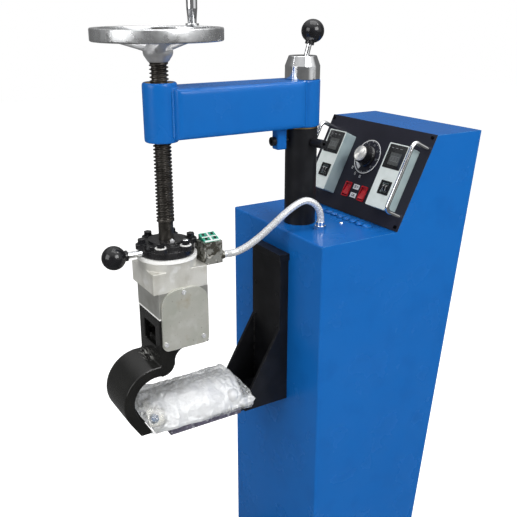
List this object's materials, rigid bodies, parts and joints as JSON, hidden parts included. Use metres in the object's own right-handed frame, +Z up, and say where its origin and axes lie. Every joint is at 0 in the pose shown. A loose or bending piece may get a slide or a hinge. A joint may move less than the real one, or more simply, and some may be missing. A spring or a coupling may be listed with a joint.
{
  "type": "floor-standing tyre vulcanizing machine",
  "caption": "Blue cabinet with a control panel, a pillar, a swing boom and a handwheel press screw that lowers a heated hook arm onto a bracket with a lower platen.",
  "frame": {"origin": "on the floor at the centre of the four anchor holes, which is also the pillar's axis", "axes": "+Z up along the pillar; -Y is the front, where the boom and the head point at rest; +X is the operator's right as they face the control panel from the front"},
  "size_m": [0.44, 0.688, 1.3],
  "materials": {
    "blue_paint": "smooth blue gloss powder coat over sheet steel and the welded boom",
    "black_paint": "semi-gloss black enamel",
    "black_gloss": "thick gloss black enamel on the cast arm",
    "panel_black": "satin black coated panel",
    "chrome": "bright chrome plate",
    "zinc_steel": "bright zinc plate on screws and nuts",
    "blued_steel": "dark blue finish on the platen's bolts",
    "screw_steel": "oiled dark steel",
    "ground_steel": "ground steel",
    "wheel_metal": "dull silver cast wheel",
    "cast_aluminium": "milled and sand cast aluminium, slightly stained",
    "bronze": "plain bronze",
    "insulator": "white heat insulation board",
    "bakelite": "polished black knobs",
    "grey_plastic": "pale grey-green case",
    "dark_plastic": "dark window and number wheels",
    "red_plastic": "translucent red rockers",
    "green_plastic": "green terminal block",
    "hose_metal": "braided metal conduit",
    "clear_film": "crinkled clear wrapping film"
  },
  "bodies": {
    "cabinet": {"base_plate": "black_paint", "cabinet_shell": "blue_paint", "rear_panel": "blue_paint", "cabinet_screws": "zinc_steel", "control_panel": "panel_black", "pillar": "black_paint", "pillar_socket": "black_paint", "pillar_bushes": "bronze", "lock_screw": "black_paint", "lower_bracket": "black_paint", "bracket_nuts": "zinc_steel", "lower_platen": "cast_aluminium", "controller_left": "grey_plastic", "controller_right": "grey_plastic", "controller_fronts": "dark_plastic", "guard_handles": "chrome", "timer_dial": "panel_black", "deck_gland": "chrome", "mains_gland": "bakelite", "contactor_rail": "grey_plastic", "conduit_lower": "hose_metal"},
    "digits_1": {"digit_wheel_1": "dark_plastic"},
    "digits_2": {"digit_wheel_2": "dark_plastic"},
    "digits_3": {"digit_wheel_3": "dark_plastic"},
    "digits_4": {"digit_wheel_4": "dark_plastic"},
    "timer": {"timer_knob": "bakelite"},
    "rocker_a": {"rocker_left": "red_plastic"},
    "rocker_b": {"rocker_right": "red_plastic"},
    "boom": {"swing_boom": "blue_paint", "boom_spindle": "ground_steel", "lug_bolt": "black_paint", "screw_nut": "bronze", "conduit_middle": "hose_metal"},
    "cap": {"lock_cap": "chrome", "cap_lever": "chrome", "cap_ball": "bakelite"},
    "carrier": {"thrust_bearing": "ground_steel"},
    "screw": {"press_screw": "screw_steel", "handwheel": "wheel_metal", "wheel_nut": "zinc_steel"},
    "grip": {"crank_grip": "chrome"},
    "head": {"retaining_plate": "black_paint", "flange_bolts": "zinc_steel", "swivel_flange": "black_paint", "insulator_ring": "insulator", "head_block": "cast_aluminium", "heater_box": "cast_aluminium", "gasket": "insulator", "hook_arm": "black_gloss", "side_covers": "cast_aluminium", "cover_screws": "zinc_steel", "handle_stem": "chrome", "handle_ball": "bakelite", "junction_box": "cast_aluminium", "terminal_block": "green_plastic", "upper_platen": "cast_aluminium", "platen_cover": "cast_aluminium", "platen_bolts": "blued_steel", "protective_film": "clear_film", "conduit_upper": "hose_metal"}
  },
  "joints": [
    {"name": "boom_swing", "type": "hinge", "parent": "cabinet", "child": "boom", "pos_m": [0, 0, 1], "axis": [0, 0, 1], "range_deg": [-50, 50], "deforming": ["conduit_lower"]},
    {"name": "cap_turn", "type": "hinge", "parent": "boom", "child": "cap", "pos_m": [0, 0, 1.14], "axis": [0, 0, 1], "range_deg": [-60, 60]},
    {"name": "press_lift", "type": "slide", "parent": "boom", "child": "carrier", "axis": [0, 0, 1], "range_m": [0, 0.13], "deforming": ["conduit_middle"]},
    {"name": "screw_spin", "type": "hinge", "parent": "carrier", "child": "screw", "pos_m": [0, -0.273, 1], "axis": [0, 0, 1], "range_deg": [0, 7800]},
    {"name": "grip_spin", "type": "hinge", "parent": "screw", "child": "grip", "pos_m": [-0.0463, -0.18947, 1.27], "axis": [0, 0, 1], "continuous": true},
    {"name": "head_swivel", "type": "hinge", "parent": "carrier", "child": "head", "pos_m": [0, -0.273, 0.84], "axis": [0, 0, 1], "range_deg": [-30, 30], "deforming": ["conduit_upper"]},
    {"name": "timer_turn", "type": "hinge", "parent": "cabinet", "child": "timer", "pos_m": [0.001, 0.15088, 0.96864], "axis": [0, -0.8987, 0.4385], "range_deg": [-300, 0]},
    {"name": "rocker_tip_left", "type": "hinge", "parent": "cabinet", "child": "rocker_a", "pos_m": [-0.02, 0.12873, 0.90044], "axis": [1, 0, 0], "range_deg": [0, 18]},
    {"name": "rocker_tip_right", "type": "hinge", "parent": "cabinet", "child": "rocker_b", "pos_m": [0.028, 0.12873, 0.90044], "axis": [1, 0, 0], "range_deg": [0, 18]},
    {"name": "digit_turn_1", "type": "hinge", "parent": "cabinet", "child": "digits_1", "pos_m": [-0.07775, 0.11503, 0.9305], "axis": [1, 0, 0], "continuous": true},
    {"name": "digit_turn_2", "type": "hinge", "parent": "cabinet", "child": "digits_2", "pos_m": [-0.07025, 0.11503, 0.9305], "axis": [1, 0, 0], "continuous": true},
    {"name": "digit_turn_3", "type": "hinge", "parent": "cabinet", "child": "digits_3", "pos_m": [0.10325, 0.11503, 0.9305], "axis": [1, 0, 0], "continuous": true},
    {"name": "digit_turn_4", "type": "hinge", "parent": "cabinet", "child": "digits_4", "pos_m": [0.11075, 0.11503, 0.9305], "axis": [1, 0, 0], "continuous": true}
  ],
  "couplings": [
    {"joint": "press_lift", "follows": "screw_spin", "m_per_rad": 0.00095493}
  ]
}
